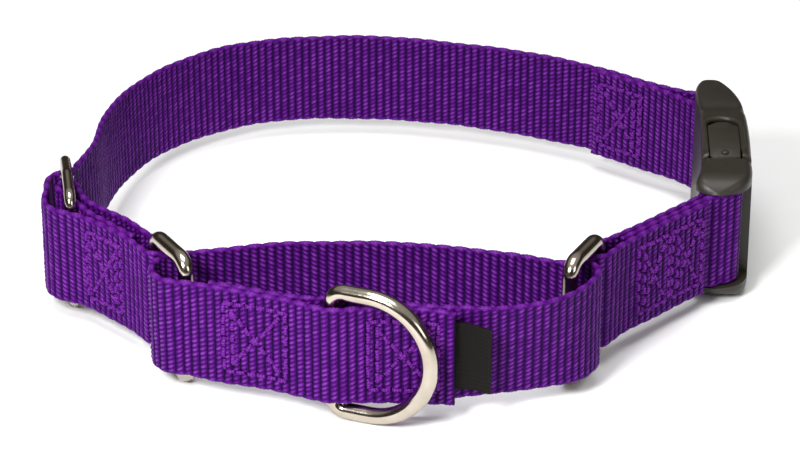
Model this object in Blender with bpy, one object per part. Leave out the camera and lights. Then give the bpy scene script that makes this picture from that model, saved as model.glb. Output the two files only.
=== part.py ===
"""Martingale collar, 25 mm nylon webbing with nickel hardware and a side-release buckle.

All sizes below are in millimetres and turn into metres where a mesh is made. Plan points are (x, y)
seen from above, measured about a point near the middle of the neck opening; FOOTPRINT_CENTRE moves
that plan so that the finished collar stands centred on the origin, on z = 0.
"""
import math

import bmesh
import bpy
from mathutils import Matrix, Vector, geometry

MM = 0.001
FOOTPRINT_CENTRE = Vector((0.3, 15.27))

# Webbing
STRAP_WIDTH = 25.4
STRAP_THICK = 1.5
GAP = 0.3
FOLD_GAP = 0.38
HARDWARE_HEIGHT = 35.0
MID_Z = HARDWARE_HEIGHT / 2
SPACING = 3.0

# Rings: round wire, hinged in a fold of webbing by one upright and caught in the loop by the other
RING_WIRE = 2.0
LEFT_FOLD = Vector((-58.8, -31.6))
LEFT_LOOP = Vector((-50.6, -46.2))
RIGHT_FOLD = Vector((47.5, -33.2))
RIGHT_LOOP = Vector((40.2, -47.9))
RING_CORNER = 3.4

# D-ring
D_BAR = Vector((-15.8, -61.0))
D_REACH = 24.6
D_ANGLE = -22.0
D_CORNER = 3.2

# Slide adjuster: three uprights between two rails
SLIDE_CENTRE = Vector((-83.5, 3.0))
SLIDE_ANGLE = -81.4
SLIDE_REACH = 12.2
SLIDE_WIRE = 1.45
SLIDE_HEIGHT = 34.4
SLIDE_CORNER = 3.0
SLIDE_BOW = 0.9

# Buckle: w runs from the socket's far end to the plug's near end, v points away from the neck
BUCKLE_CENTRE = Vector((83.3, 28.0))
BUCKLE_ANGLE = -93.0
SOCKET_BAR = (-27.9, -2.4)
PLUG_BAR = (26.0, 0.1)
BAR_RADIUS = 2.0
SHOULDER = 4.5
MOUTH = 17.0
CHANNEL_HALF = 4.3
PLUG_INSET = 0.8
WINDOW_END = -1.8
ARM_ROOT = 16.6
ARM_TIP = -5.5
ARM_FLANK = -0.8
PLUG_END = 33.2
PLUG_ROUND = 7.5
SOCKET_ROUND = 4.2

# Seams: box with a cross, in a raised line of thread
SEAM_HEIGHT = 18.0
THREAD_WIDTH = 1.1
THREAD_THICK = 0.5

# Tag
TAG_LOW = 8.2
TAG_HIGH = 26.8
TAG_HALF = 0.3

# How far the loop's front leans outwards for each millimetre of height
LEAN = 0.17


# ---------------------------------------------------------------- plan curves

def turned(degrees):
    """The unit vector at an angle in the plan."""
    return Vector((math.cos(math.radians(degrees)), math.sin(math.radians(degrees))))


def arc(centre, radius, start, end, steps=8):
    """Points round a bar from one angle to another."""
    return [centre + turned(start + (end - start) * i / steps) * radius for i in range(steps + 1)]


def smooth(points, spacing=SPACING):
    """An even curve through every point (Catmull-Rom, chord-length knots)."""
    pts = [Vector(p) for p in points]
    pts = [pts[0] * 2 - pts[1]] + pts + [pts[-1] * 2 - pts[-2]]
    curve = []
    for a, b, c, d in zip(pts, pts[1:], pts[2:], pts[3:]):
        t0 = 0.0
        t1 = t0 + max((b - a).length, 1e-6) ** 0.5
        t2 = t1 + max((c - b).length, 1e-6) ** 0.5
        t3 = t2 + max((d - c).length, 1e-6) ** 0.5
        steps = max(1, math.ceil((c - b).length / spacing))
        for i in range(steps):
            t = t1 + (t2 - t1) * i / steps
            ab = a * ((t1 - t) / (t1 - t0)) + b * ((t - t0) / (t1 - t0))
            bc = b * ((t2 - t) / (t2 - t1)) + c * ((t - t1) / (t2 - t1))
            cd = c * ((t3 - t) / (t3 - t2)) + d * ((t - t2) / (t3 - t2))
            abc = ab * ((t2 - t) / (t2 - t0)) + bc * ((t - t0) / (t2 - t0))
            bcd = bc * ((t3 - t) / (t3 - t1)) + cd * ((t - t1) / (t3 - t1))
            curve.append(abc * ((t2 - t) / (t2 - t1)) + bcd * ((t - t1) / (t2 - t1)))
    curve.append(pts[-2])
    return curve


def local(origin, along, across):
    """A function from (along, across) to the plan, for a stack of straps or a buckle."""
    return lambda s, n: origin + along * s + across * n


WRAP = BAR_RADIUS + FOLD_GAP + STRAP_THICK / 2
RING_WRAP = RING_WIRE + FOLD_GAP + STRAP_THICK / 2
SLIDE_WRAP = SLIDE_WIRE + FOLD_GAP + STRAP_THICK / 2

slide_along = turned(SLIDE_ANGLE)
slide_out = turned(SLIDE_ANGLE - 90)
on_slide = local(SLIDE_CENTRE, slide_along, slide_out)

stack_along = turned(133.0)
stack_out = turned(223.0)
on_stack = local(LEFT_FOLD, stack_along, stack_out)

buckle_along = turned(BUCKLE_ANGLE)
buckle_out = turned(BUCKLE_ANGLE + 90)
on_buckle = local(BUCKLE_CENTRE, buckle_along, buckle_out)

tab_run = on_buckle(*PLUG_BAR) - RIGHT_FOLD
tab_along = tab_run.normalized()
tab_out = Vector((tab_along.y, -tab_along.x))
on_tab = local(RIGHT_FOLD, tab_along, tab_out)


def slide_arc(bar, radius, start, end, steps=8):
    """Points round one of the adjuster's uprights; 90 degrees is its outer side."""
    points = []
    for i in range(steps + 1):
        angle = turned(start + (end - start) * i / steps) * radius
        points.append(on_slide(bar + angle.x, angle.y))
    return points


def neck_path():
    """Socket fold, round the neck, over the adjuster, round the left ring, round its middle bar."""
    fold = [(53.2, 78.4), (58.5, 74.0), (63.8, 69.6), (72.9, 62.0)]
    socket = arc(on_buckle(*SOCKET_BAR), WRAP, 214, 394, 10)
    back = [
        (81.4, 61.2), (75.6, 63.6), (65.0, 71.2), (54.3, 79.8), (34.4, 90.4), (11.6, 98.2),
        (-9.2, 101.8), (-31.9, 100.6), (-48.6, 94.2), (-64.6, 79.5), (-74.0, 62.0), (-78.2, 45.0),
        (-79.4, 29.0), (-81.3, 20.5),
    ]
    over = [
        on_slide(-12.9, -2.9), on_slide(-10.0, -1.9), on_slide(-9.0, 0.8), on_slide(-7.2, 3.4),
        on_slide(-4.2, 4.9), on_slide(0.5, 5.4), on_slide(5.5, 6.2), on_slide(9.4, 5.9),
        on_slide(12.8, 4.0),
    ]
    outer = [on_stack(26, 2.5), on_stack(16, 1.85), on_stack(8, 1.95)]
    ring = arc(LEFT_FOLD, RING_WRAP, 223, 403, 10)
    inner = [on_stack(9, -3.6), on_stack(18, -4.4), on_stack(27, -3.9), on_slide(8.5, -4.1)]
    round_bar = slide_arc(0, SLIDE_WRAP, 285, 65, 11)
    end = [on_slide(6.1, -0.1), on_slide(11.0, -2.4), on_stack(25.5, -0.1), on_stack(16, 0), on_stack(9, 0)]
    return smooth(fold + socket + back + over + outer + ring + inner + round_bar + end)


def loop_path():
    """Front outer layer, round the left ring, back leg, round the right ring, front under layer."""
    outer = [
        (12.8, -65.6), (8.0, -64.5), (2.0, -63.8), (-4.0, -63.4), (-9.6, -63.6), (-16.4, -64.05),
        (-22.2, -61.5), (-28.0, -58.6), (-34.0, -56.3), (-41.0, -53.9), (-46.5, -51.8),
    ]
    left_turn = arc(Vector((-51.5, -42.2)), 7.7, -88, -268, 12)
    back = [
        (-43.0, -33.0), (-34.0, -30.5), (-25.0, -29.2), (-15.7, -28.8), (-6.5, -29.1), (2.7, -30.0),
        (12.0, -31.8), (21.0, -33.6), (28.7, -35.8), (33.6, -37.8), (38.5, -39.4), (42.6, -39.2),
    ]
    right_turn = [(45.8, -40.6), (47.2, -44.2), (45.6, -48.8), (42.2, -53.3), (37.0, -56.9)]
    under = [
        (28.6, -60.0), (20.7, -61.5), (13.6, -62.0), (8.0, -62.4), (2.0, -61.8), (-4.0, -61.4),
        (-8.4, -60.6), (-11.8, -58.8), (-15.6, -57.9), (-20.4, -58.4), (-27.3, -56.8), (-33.3, -54.5),
        (-40.3, -52.1), (-45.0, -50.3),
    ]
    return smooth(outer + left_turn + back + right_turn + under)


def tab_path():
    """Outer layer, round the right ring, inner layer, round the plug's bar, middle layer."""
    outer = [on_tab(39, 2.0), on_tab(30, 1.8), on_tab(20, 1.8), on_tab(8, 1.9)]
    facing = math.degrees(math.atan2(tab_out.y, tab_out.x))
    ring = arc(RIGHT_FOLD, RING_WRAP, facing, facing - 180, 10)
    inner = [on_tab(8, -2.0), on_tab(20, -1.8), on_tab(32, -1.8), on_tab(41, -2.0)]
    bar = arc(on_buckle(*PLUG_BAR), WRAP, facing - 180, facing - 360, 10)
    middle = [on_tab(44.9, 1.9), on_tab(41, 0.1), on_tab(37, 0), on_tab(20, 0), on_tab(9, 0)]
    return smooth(outer + ring + inner + bar + middle)


def lean(point, z):
    """The right half of the loop's front leans outwards at the top."""
    rise = min(max((point.x - 4.0) / 18.0, 0.0), 1.0)
    fall = min(max((46.0 - point.x) / 12.0, 0.0), 1.0)
    front = min(max((-44.0 - point.y) / 8.0, 0.0), 1.0)
    ease = rise * rise * (3 - 2 * rise) * fall * fall * (3 - 2 * fall) * front * front * (3 - 2 * front)
    return Vector((point.x, point.y - LEAN * ease * (z - MID_Z)))


# ---------------------------------------------------------------- mesh helpers

def material(name, colour, roughness, metallic=0.0):
    """One plain material."""
    made = bpy.data.materials.new(name)
    made.use_nodes = True
    shader = made.node_tree.nodes["Principled BSDF"]
    shader.inputs["Base Color"].default_value = (*colour, 1.0)
    shader.inputs["Roughness"].default_value = roughness
    shader.inputs["Metallic"].default_value = metallic
    return made


def make_object(name, verts, faces, look, pivot=(0.0, 0.0, 0.0)):
    """An object from millimetre points, with its origin on its pivot."""
    shift = Vector((*FOOTPRINT_CENTRE, 0.0))
    origin = (Vector(pivot) - shift) * MM if pivot != (0.0, 0.0, 0.0) else Vector((0, 0, 0))
    mesh = bpy.data.meshes.new(name)
    mesh.from_pydata([(Vector(v) - shift) * MM - origin for v in verts], [], faces)
    bm = bmesh.new()
    bm.from_mesh(mesh)
    bmesh.ops.recalc_face_normals(bm, faces=bm.faces)
    bm.to_mesh(mesh)
    bm.free()
    mesh.materials.append(look)
    made = bpy.data.objects.new(name, mesh)
    made.location = origin
    bpy.context.scene.collection.objects.link(made)
    return made


def apply_modifiers(made):
    """Bake an object's modifiers into its mesh."""
    bpy.context.view_layer.update()
    graph = bpy.context.evaluated_depsgraph_get()
    baked = bpy.data.meshes.new_from_object(made.evaluated_get(graph))
    made.modifiers.clear()
    made.data = baked


def combine(made, others, operation):
    """Union or cut an object with others, which are used up."""
    for other in others:
        step = made.modifiers.new(operation, "BOOLEAN")
        step.operation = operation
        step.solver = "EXACT"
        step.object = other
        apply_modifiers(made)
        bpy.data.objects.remove(other)
    return made


def round_edges(made, width, segments=2, limit=40):
    """Round the sharp edges."""
    step = made.modifiers.new("rounded", "BEVEL")
    step.width = width * MM
    step.segments = segments
    step.limit_method = "ANGLE"
    step.angle_limit = math.radians(limit)
    step.use_clamp_overlap = True
    apply_modifiers(made)
    return made


def shade(made, limit=35):
    """Smooth shading with sharp corners kept."""
    made.data.shade_smooth()
    made.data.set_sharp_from_angle(angle=math.radians(limit))


def curve_normals(path):
    """The left-hand normal at each point of a plan curve."""
    normals = []
    for i in range(len(path)):
        before = path[max(i - 1, 0)]
        after = path[min(i + 1, len(path) - 1)]
        run = (after - before).normalized()
        normals.append(Vector((-run.y, run.x)))
    return normals


def webbing(name, path, look, shape=None):
    """A strap: the path thickened, as wide as the webbing is, with square cut ends."""
    low = MID_Z - STRAP_WIDTH / 2
    high = MID_Z + STRAP_WIDTH / 2
    half = STRAP_THICK / 2
    shape = shape or (lambda point, z: point)
    verts = []
    for point, normal in zip(path, curve_normals(path)):
        for z, side in ((low, -half), (high, -half), (high, half), (low, half)):
            verts.append((*shape(point + normal * side, z), z))
    faces = []
    for i in range(len(path) - 1):
        for k in range(4):
            j = (k + 1) % 4
            faces.append((4 * i + k, 4 * i + j, 4 * i + 4 + j, 4 * i + 4 + k))
    last = 4 * (len(path) - 1)
    faces.append((0, 1, 2, 3))
    faces.append((last, last + 1, last + 2, last + 3))
    return make_object(name, verts, faces, look)


def wire(name, points, radius, look, pivot, sides=10):
    """A closed loop of round wire through space points."""
    count = len(points)
    centre = sum((Vector(p) for p in points), Vector()) / count
    verts = []
    for i in range(count):
        run = (Vector(points[(i + 1) % count]) - Vector(points[i - 1])).normalized()
        outward = Vector(points[i]) - centre
        outward = (outward - run * outward.dot(run)).normalized()
        third = run.cross(outward)
        for k in range(sides):
            turn = turned(360.0 * k / sides)
            verts.append(Vector(points[i]) + outward * (turn.x * radius) + third * (turn.y * radius))
    faces = []
    for i in range(count):
        j = (i + 1) % count
        for k in range(sides):
            m = (k + 1) % sides
            faces.append((i * sides + k, i * sides + m, j * sides + m, j * sides + k))
    return make_object(name, verts, faces, look, pivot)


def prism(name, outline, low, high, look, place):
    """An outline of (a, b) points extruded from low to high, set in space by place(a, b, c)."""
    verts = [place(a, b, low) for a, b in outline] + [place(a, b, high) for a, b in outline]
    count = len(outline)
    faces = [tuple(range(count)), tuple(range(2 * count - 1, count - 1, -1))]
    for i in range(count):
        j = (i + 1) % count
        faces.append((i, j, count + j, count + i))
    return make_object(name, verts, faces, look)


def buckle_upright(a, b, c):
    """(w, v, z) in the buckle to space."""
    return (*on_buckle(a, b), c)


def buckle_side(a, b, c):
    """(w, z, v) in the buckle to space."""
    return (*on_buckle(a, c), b)


def box(name, w, v, z, look):
    """A block in the buckle's own directions."""
    outline = [(w[0], v[0]), (w[1], v[0]), (w[1], v[1]), (w[0], v[1])]
    return prism(name, outline, z[0], z[1], look, buckle_upright)


def round_bar(name, at, radius, low, high, look, sides=16):
    """An upright round bar in the buckle."""
    outline = [tuple(Vector(at) + turned(360 * i / sides) * radius) for i in range(sides)]
    return prism(name, outline, low, high, look, buckle_upright)


# ---------------------------------------------------------------- hardware

def rounded_corner(centre, radius, start, steps=4):
    """A quarter circle of (along, height) points."""
    return [Vector(centre) + turned(start + 90.0 * i / steps) * radius for i in range(steps + 1)]


def loop_ring(name, fold, caught, look):
    """A rectangular wire ring between its fold upright and its loop upright."""
    run = caught - fold
    reach = run.length
    along = run.normalized()
    rise = MID_Z - RING_WIRE
    corner = RING_CORNER
    flat = rounded_corner((corner, corner - rise), corner, 180)
    flat += rounded_corner((reach - corner, corner - rise), corner, 270)
    flat += rounded_corner((reach - corner, rise - corner), corner, 0)
    flat += rounded_corner((corner, rise - corner), corner, 90)
    points = [(*(fold + along * p.x), MID_Z + p.y) for p in flat]
    made = wire(name, points, RING_WIRE, look, (*fold, MID_Z))
    shade(made, 60)
    return made


def d_ring(look):
    """A straight upright with a half-round bow."""
    rise = MID_Z - RING_WIRE
    corner = D_CORNER
    bow = D_REACH - rise
    flat = rounded_corner((corner, corner - rise), corner, 180)
    flat += [Vector((bow, 0)) + turned(-90 + 180.0 * i / 16) * rise for i in range(17)]
    flat += rounded_corner((corner, rise - corner), corner, 90)
    along = turned(D_ANGLE)
    points = [(*(D_BAR + along * p.x), MID_Z + p.y) for p in flat]
    made = wire("d_ring", points, RING_WIRE, look, (*D_BAR, MID_Z))
    shade(made, 60)
    return made


def slide_adjuster(look):
    """Two rails and three uprights, cast in one piece; the rails bow up a little at the middle."""
    rise = SLIDE_HEIGHT / 2 - SLIDE_WIRE
    corner = SLIDE_CORNER
    span = SLIDE_REACH
    bow = SLIDE_BOW
    flat = rounded_corner((corner - span, corner - rise + bow), corner, 180)
    flat += [Vector((0, -rise))]
    flat += rounded_corner((span - corner, corner - rise + bow), corner, 270)
    flat += rounded_corner((span - corner, rise - corner - bow), corner, 0)
    flat += [Vector((0, rise))]
    flat += rounded_corner((corner - span, rise - corner - bow), corner, 90)
    points = [(*on_slide(p.x, 0), MID_Z + p.y) for p in flat]
    made = wire("slide_adjuster", points, SLIDE_WIRE, look, (*SLIDE_CENTRE, MID_Z))
    outline = [on_slide(*(turned(30.0 * i) * SLIDE_WIRE)) for i in range(12)]
    low = MID_Z - rise
    high = MID_Z + rise
    bar = prism("bar", outline, low, high, look, lambda a, b, c: (a, b, c))
    combine(made, [bar], "UNION")
    shade(made, 60)
    return made


def end_profile(square_end, round_end, radius):
    """A (w, z) rectangle as tall as the buckle, with its corners rounded at one end."""
    way = 1 if round_end > square_end else -1
    inset = round_end - way * radius
    quarter = [turned(-90 + 18 * i) * radius for i in range(6)]
    low = [Vector((inset + way * p.x, radius + p.y)) for p in quarter]
    top = [Vector((p.x, HARDWARE_HEIGHT - p.y)) for p in reversed(low)]
    return [(square_end, 0)] + [tuple(p) for p in low + top] + [(square_end, HARDWARE_HEIGHT)]


def socket(look):
    """The buckle's female half: shoulders and a bar for the webbing, two cheeks, open sides."""
    far = -32.5
    outline = [
        (far, -1.6), (far + 1.6, 0.8), (-26.5, 3.6), (-20.0, 5.5), (-12.0, 6.4), (0.0, 6.8), (MOUTH, 6.6),
        (MOUTH, -6.2), (0.0, -5.6), (-12.0, -5.6), (-22.0, -6.2), (-28.5, -5.8), (far + 1.2, -4.4),
    ]
    high = HARDWARE_HEIGHT
    made = prism("buckle_socket", outline, 0, high, look, buckle_upright)
    side = end_profile(MOUTH + 5, far - 0.5, SOCKET_ROUND)
    combine(made, [prism("side", side, -20, 20, look, buckle_side)], "INTERSECT")
    round_edges(made, 1.3, 3)
    inside = box("inside", (-17.6, MOUTH + 5), (-CHANNEL_HALF, CHANNEL_HALF), (3.2, high - 3.2), look)
    window = [(MOUTH + 5, -CHANNEL_HALF), (MOUTH + 5, CHANNEL_HALF), (WINDOW_END, CHANNEL_HALF)]
    window += [tuple(Vector((WINDOW_END, 0)) + turned(90 + 22.5 * i) * CHANNEL_HALF) for i in range(1, 8)]
    window += [(WINDOW_END, -CHANNEL_HALF)]
    sides = prism("sides", window, -5, high + 5, look, buckle_upright)
    slot = box("slot", (far - 5, -23.4), (-20, 20), (SHOULDER, high - SHOULDER), look)
    combine(made, [slot, inside, sides], "DIFFERENCE")
    bar = round_bar("bar", SOCKET_BAR, BAR_RADIUS, SHOULDER - 1, high - SHOULDER + 1, look)
    combine(made, [bar], "UNION")
    shade(made)
    return made


def plug(look):
    """The buckle's male half without its arms: lens-shaped shoulders, a bar, a wall and a tongue."""
    wall = MOUTH + 0.4
    near = PLUG_END
    outline = [
        (wall, -6.2), (wall, 6.6), (22.0, 6.6), (26.2, 6.0), (29.4, 4.3), (near - 1.2, 1.6), (near, -1.7),
        (near - 0.5, -4.5), (near - 2.0, -6.9), (28.8, -7.8), (25.5, -7.2), (21.0, -6.4),
    ]
    low = PLUG_INSET
    high = HARDWARE_HEIGHT - PLUG_INSET
    made = prism("buckle_plug", outline, low, high, look, buckle_upright)
    side = end_profile(wall - 5, near + 1, PLUG_ROUND)
    combine(made, [prism("side", side, -20, 20, look, buckle_side)], "INTERSECT")
    round_edges(made, 1.3, 3)
    top = HARDWARE_HEIGHT - SHOULDER
    slot = box("slot", (wall + 4.4, near + 5), (-20, 20), (SHOULDER, top), look)
    combine(made, [slot], "DIFFERENCE")
    bar = round_bar("bar", PLUG_BAR, BAR_RADIUS, SHOULDER - 1, top + 1, look)
    tongue = box("tongue", (-14.0, wall + 1), (-2.4, 2.4), (MID_Z - 4.2, MID_Z + 4.2), look)
    round_edges(tongue, 0.8, 2)
    combine(made, [bar, tongue], "UNION")
    shade(made)
    return made


def arm(name, side, look):
    """A side arm: a thin root, then a broad pointed head that fills the socket's side window."""
    top = MID_Z
    outline = [
        (ARM_ROOT, top - 6.6), (ARM_ROOT, top - 3.9), (13.4, top - 3.7), (12.2, top - 0.8), (8.0, top - 0.1),
        (2.0, top - 0.4), (-3.8, top - 1.6), (-5.2, top - 4.0), (-4.8, top - 7.6), (1.5, top - 8.8),
        (9.0, top - 8.2),
    ]
    outline = [(w, MID_Z + side * z) for w, z in outline]
    made = prism(name, outline, -CHANNEL_HALF + 0.4, CHANNEL_HALF - 0.4, look, buckle_side)
    root_end = ARM_ROOT + 1
    roof = [
        (ARM_TIP, 0), (ARM_FLANK, -CHANNEL_HALF), (root_end, -CHANNEL_HALF), (root_end, CHANNEL_HALF),
        (ARM_FLANK, CHANNEL_HALF),
    ]
    combine(made, [prism("roof", roof, -1, HARDWARE_HEIGHT + 1, look, buckle_upright)], "INTERSECT")
    round_edges(made, 0.6, 2)
    root = on_buckle(ARM_ROOT, 0)
    pivot = Vector((*(root - FOOTPRINT_CENTRE), MID_Z + side * (top - 5.2))) * MM
    made.data.transform(Matrix.Translation(-pivot))
    made.location = pivot
    shade(made)
    return made


# ---------------------------------------------------------------- sewing

def nearest_run(path, start, end):
    """The stretch of a path between the points nearest to two plan points."""
    first = min(range(len(path)), key=lambda i: (path[i] - start).length)
    last = min(range(len(path)), key=lambda i: (path[i] - end).length)
    return path[min(first, last):max(first, last) + 1]


def along_path(path, distance):
    """The point and left-hand normal at a distance along a plan curve."""
    normals = curve_normals(path)
    for i in range(len(path) - 1):
        length = (path[i + 1] - path[i]).length
        if distance <= length or i == len(path) - 2:
            t = distance / length
            normal = normals[i].lerp(normals[i + 1], min(max(t, 0), 1)).normalized()
            return path[i].lerp(path[i + 1], t), normal
        distance -= length


def split_edges(points, spacing=2.6):
    """A closed outline with its long edges divided."""
    made = []
    for a, b in zip(points, points[1:] + points[:1]):
        a = Vector(a)
        b = Vector(b)
        steps = max(1, round((b - a).length / spacing))
        made += [a.lerp(b, i / steps) for i in range(steps)]
    return made


def seam(name, path, length, offset, look, shape=None):
    """A box with a cross in raised thread, laid along a path at an offset from its middle."""
    shape = shape or (lambda point, z: point)
    half = SEAM_HEIGHT / 2
    t = THREAD_WIDTH
    slope = math.hypot(length, SEAM_HEIGHT)
    along = t * slope / SEAM_HEIGHT
    rise = t * slope / length
    mid = length / 2
    loops = [
        [(0, -half), (length, -half), (length, half), (0, half)],
        [(along, half - t), (length - along, half - t), (mid, rise / 2)],
        [(along, t - half), (mid, -rise / 2), (length - along, t - half)],
        [(t, half - rise), (mid - along / 2, 0), (t, rise - half)],
        [(length - t, half - rise), (length - t, rise - half), (mid + along / 2, 0)],
    ]
    loops = [split_edges(points) for points in loops]
    flat = [p for points in loops for p in points]
    triangles = geometry.tessellate_polygon([[Vector((*p, 0)) for p in points] for points in loops])
    count = len(flat)
    levels = (abs(offset), abs(offset) + THREAD_THICK)
    verts = []
    for level in levels:
        for p in flat:
            point, normal = along_path(path, p.x)
            z = MID_Z + p.y
            verts.append((*shape(point + normal * math.copysign(level, offset), z), z))
    faces = [tuple(tri) for tri in triangles]
    faces += [tuple(count + i for i in reversed(tri)) for tri in triangles]
    start = 0
    for points in loops:
        size = len(points)
        for i in range(size):
            a = start + i
            b = start + (i + 1) % size
            faces.append((a, b, count + b, count + a))
        start += size
    return make_object(name, verts, faces, look)


def seams(neck, loop, tab, look):
    """Every seam: a face thread on the side away from the neck and a back thread on the other."""
    clear = STRAP_THICK / 2 + GAP
    plans = [
        # name, strap, ends on its outer layer, ends on its inner layer, shape, length
        ("socket_fold", neck, (66.0, 70.4), (56.0, 78.4), (64.8, 68.8), (55.0, 76.9), None, 14.0),
        (
            "slide_fold", neck, on_stack(24, 1.9), on_stack(10, 1.8),
            on_stack(24, 0), on_stack(10, 0), None, 13.0,
        ),
        ("loop_left", loop, (-42.5, -53.4), (-26.5, -59.4), (-42.0, -51.4), (-26.0, -57.2), None, 16.0),
        ("loop_right", loop, (-8.5, -63.4), (9.0, -64.5), (-7.5, -61.0), (9.0, -62.3), lean, 16.5),
        (
            "tab_ring", tab, on_tab(12, 1.9), on_tab(24.4, 1.8),
            on_tab(12, -1.9), on_tab(24.4, -1.8), None, 11.4,
        ),
        (
            "tab_plug", tab, on_tab(25, 1.8), on_tab(37, 1.9),
            on_tab(25, -1.8), on_tab(37, -1.9), None, 11.4,
        ),
    ]
    for name, path, face_a, face_b, back_a, back_b, shape, length in plans:
        for side, a, b in (("face", face_a, face_b), ("back", back_a, back_b)):
            run = nearest_run(path, Vector(a), Vector(b))
            outward = Vector(face_a) - Vector(back_a)
            if side == "back":
                outward = -outward
            normal = curve_normals(run)[len(run) // 2]
            sign = 1 if normal.dot(outward) > 0 else -1
            seam(f"seam_{name}_{side}", run, length, sign * clear, look, shape)


def label(look):
    """A folded woven tag, sewn in under the end of the loop's outer layer."""
    path = smooth([(11.4, -63.7), (14.4, -64.0), (17.8, -65.2), (21.2, -67.2)], 2.0)
    verts = []
    for point, normal in zip(path, curve_normals(path)):
        for z, side in (
            (TAG_LOW, -TAG_HALF), (TAG_HIGH, -TAG_HALF), (TAG_HIGH, TAG_HALF), (TAG_LOW, TAG_HALF),
        ):
            verts.append((*lean(point + normal * side, z), z))
    faces = []
    for i in range(len(path) - 1):
        for k in range(4):
            j = (k + 1) % 4
            faces.append((4 * i + k, 4 * i + j, 4 * i + 4 + j, 4 * i + 4 + k))
    last = 4 * (len(path) - 1)
    faces += [(0, 1, 2, 3), (last, last + 1, last + 2, last + 3)]
    return make_object("label", verts, faces, look)


# ---------------------------------------------------------------- assembly

def build():
    """The whole collar."""
    nylon = material("purple_nylon", (0.10, 0.012, 0.26), 0.75)
    thread = material("purple_thread", (0.13, 0.02, 0.31), 0.6)
    nickel = material("nickel", (0.70, 0.65, 0.58), 0.22, 1.0)
    plastic = material("black_acetal", (0.035, 0.03, 0.027), 0.38)
    cloth = material("black_tag", (0.012, 0.010, 0.008), 0.8)
    neck = neck_path()
    loop = loop_path()
    tab = tab_path()
    webbing("neck_strap", neck, nylon)
    webbing("loop_strap", loop, nylon, lean)
    webbing("tab_strap", tab, nylon)
    seams(neck, loop, tab, thread)
    label(cloth)
    slide_adjuster(nickel)
    loop_ring("left_loop_ring", LEFT_FOLD, LEFT_LOOP, nickel)
    loop_ring("right_loop_ring", RIGHT_FOLD, RIGHT_LOOP, nickel)
    d_ring(nickel)
    socket(plastic)
    plug(plastic)
    arm("buckle_arm_top", 1, plastic)
    arm("buckle_arm_bottom", -1, plastic)


for old in list(bpy.data.objects):
    bpy.data.objects.remove(old)
build()
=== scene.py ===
import math

import bmesh
import bpy
import numpy as np
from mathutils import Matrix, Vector


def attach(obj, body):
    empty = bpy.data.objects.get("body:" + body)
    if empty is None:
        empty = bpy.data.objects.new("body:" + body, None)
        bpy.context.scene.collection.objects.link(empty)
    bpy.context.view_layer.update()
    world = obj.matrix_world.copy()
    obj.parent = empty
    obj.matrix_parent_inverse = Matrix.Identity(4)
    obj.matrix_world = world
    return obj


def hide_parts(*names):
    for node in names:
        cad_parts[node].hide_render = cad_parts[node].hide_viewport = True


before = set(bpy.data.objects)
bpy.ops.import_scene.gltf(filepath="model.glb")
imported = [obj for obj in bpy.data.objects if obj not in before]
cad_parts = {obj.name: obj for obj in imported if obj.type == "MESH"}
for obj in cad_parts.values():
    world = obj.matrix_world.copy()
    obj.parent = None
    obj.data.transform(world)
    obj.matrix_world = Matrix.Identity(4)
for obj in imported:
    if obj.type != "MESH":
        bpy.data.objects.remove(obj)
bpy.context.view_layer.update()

# All lengths are in millimetres, in the plan that the CAD part uses; place() turns them into the frame
MM = 0.001
FOOTPRINT_CENTRE = Vector((0.3, 15.27))
MID_Z = 17.5
HEIGHT = 35.0

# Webbing and wire; FOLD_GAP lies between a fold and the bar inside it
STRAP_WIDTH = 25.4
STRAP_THICK = 1.5
FOLD_GAP = 0.38
BAR_RADIUS = 2.0
RING_WIRE = 2.0
SLIDE_WIRE = 1.45
WRAP = BAR_RADIUS + FOLD_GAP + STRAP_THICK / 2
RING_WRAP = RING_WIRE + FOLD_GAP + STRAP_THICK / 2
SLIDE_WRAP = SLIDE_WIRE + FOLD_GAP + STRAP_THICK / 2

# Rings, each between the fold that holds it and the loop's turn
LEFT_FOLD = Vector((-58.8, -31.6))
LEFT_LOOP = Vector((-50.6, -46.2))
RIGHT_FOLD = Vector((47.5, -33.2))
RIGHT_LOOP = Vector((40.2, -47.9))
RING_CORNER = 3.4
RING_WELD = (0, 2.0)
D_BAR = Vector((-15.8, -61.0))
D_REACH = 24.6
D_ANGLE = -22.0
D_CORNER = 3.2
D_WELD = (0, -3.0)

# Slide adjuster
SLIDE_CENTRE = Vector((-83.5, 3.0))
SLIDE_ANGLE = -81.4
SLIDE_REACH = 12.2
SLIDE_HEIGHT = 34.4
SLIDE_CORNER = 3.0
SLIDE_BOW = 0.9

# Buckle: w runs from the socket's far end to the plug's near end, v outwards, z up
BUCKLE_CENTRE = Vector((83.3, 28.0))
BUCKLE_ANGLE = -93.0
SOCKET_BAR = (-27.9, -2.4)
PLUG_BAR = (26.0, 0.1)
SOCKET_END = -33.2
PLUG_END = 32.5
SOCKET_ROUND = 3.4      # how the top and bottom fall away at the socket's end
PLUG_ROUND = 7.5        # and at the plug's
MOUTH = 17.0            # the socket's open end
END_ROUND = 0.4         # how far the edges there are turned in
SHOULDER = 4.5          # above and below each strap slot
SLOT_WALL = -23.37      # where the socket's strap slot ends
WALL = 3.2              # the socket's top and bottom walls
CHANNEL_HALF = 4.3      # half the width of the channel and its windows
WINDOW_END = -1.8       # where the windows' round ends begin
PLUG_INSET = 0.8        # how much lower the plug stands than the socket
ARM_ROOT = 16.6
ARM_TIP = -5.5
ARM_FLANK = -0.8        # where the point of the arm's head begins
SHARP_EDGE = 38         # degrees, above which a moulded edge stays sharp

LEAN = 0.17             # how far the loop's front leans out for each millimetre up

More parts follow.
